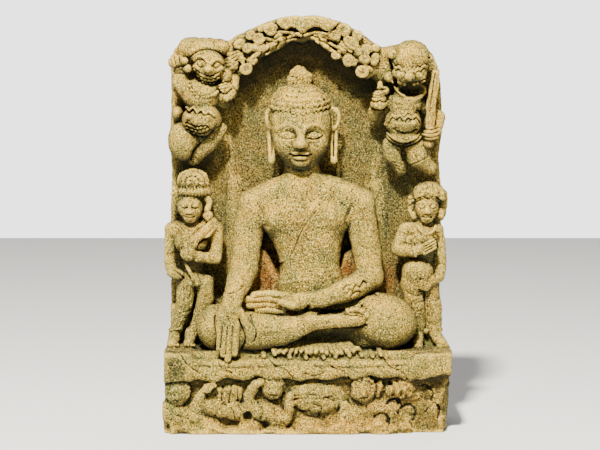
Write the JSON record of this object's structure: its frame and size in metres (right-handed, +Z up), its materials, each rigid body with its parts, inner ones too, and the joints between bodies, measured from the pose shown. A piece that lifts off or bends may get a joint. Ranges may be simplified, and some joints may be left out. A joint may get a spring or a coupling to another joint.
{
  "type": "stone relief panel",
  "caption": "Upright slab on a plinth, carved in high relief: a figure seated cross-legged under an arch of leaves, with small figures beside, above and below.",
  "frame": {"origin": "centre of the underside", "axes": "+Z up, the carved face looks along -Y, +X to the viewer's right"},
  "size_m": [0.428, 0.175, 0.6148],
  "materials": {
    "sandstone": "weathered, rubbed smooth in places, matt"
  },
  "bodies": {
    "root": {"stone_relief_panel": "sandstone"}
  },
  "joints": []
}
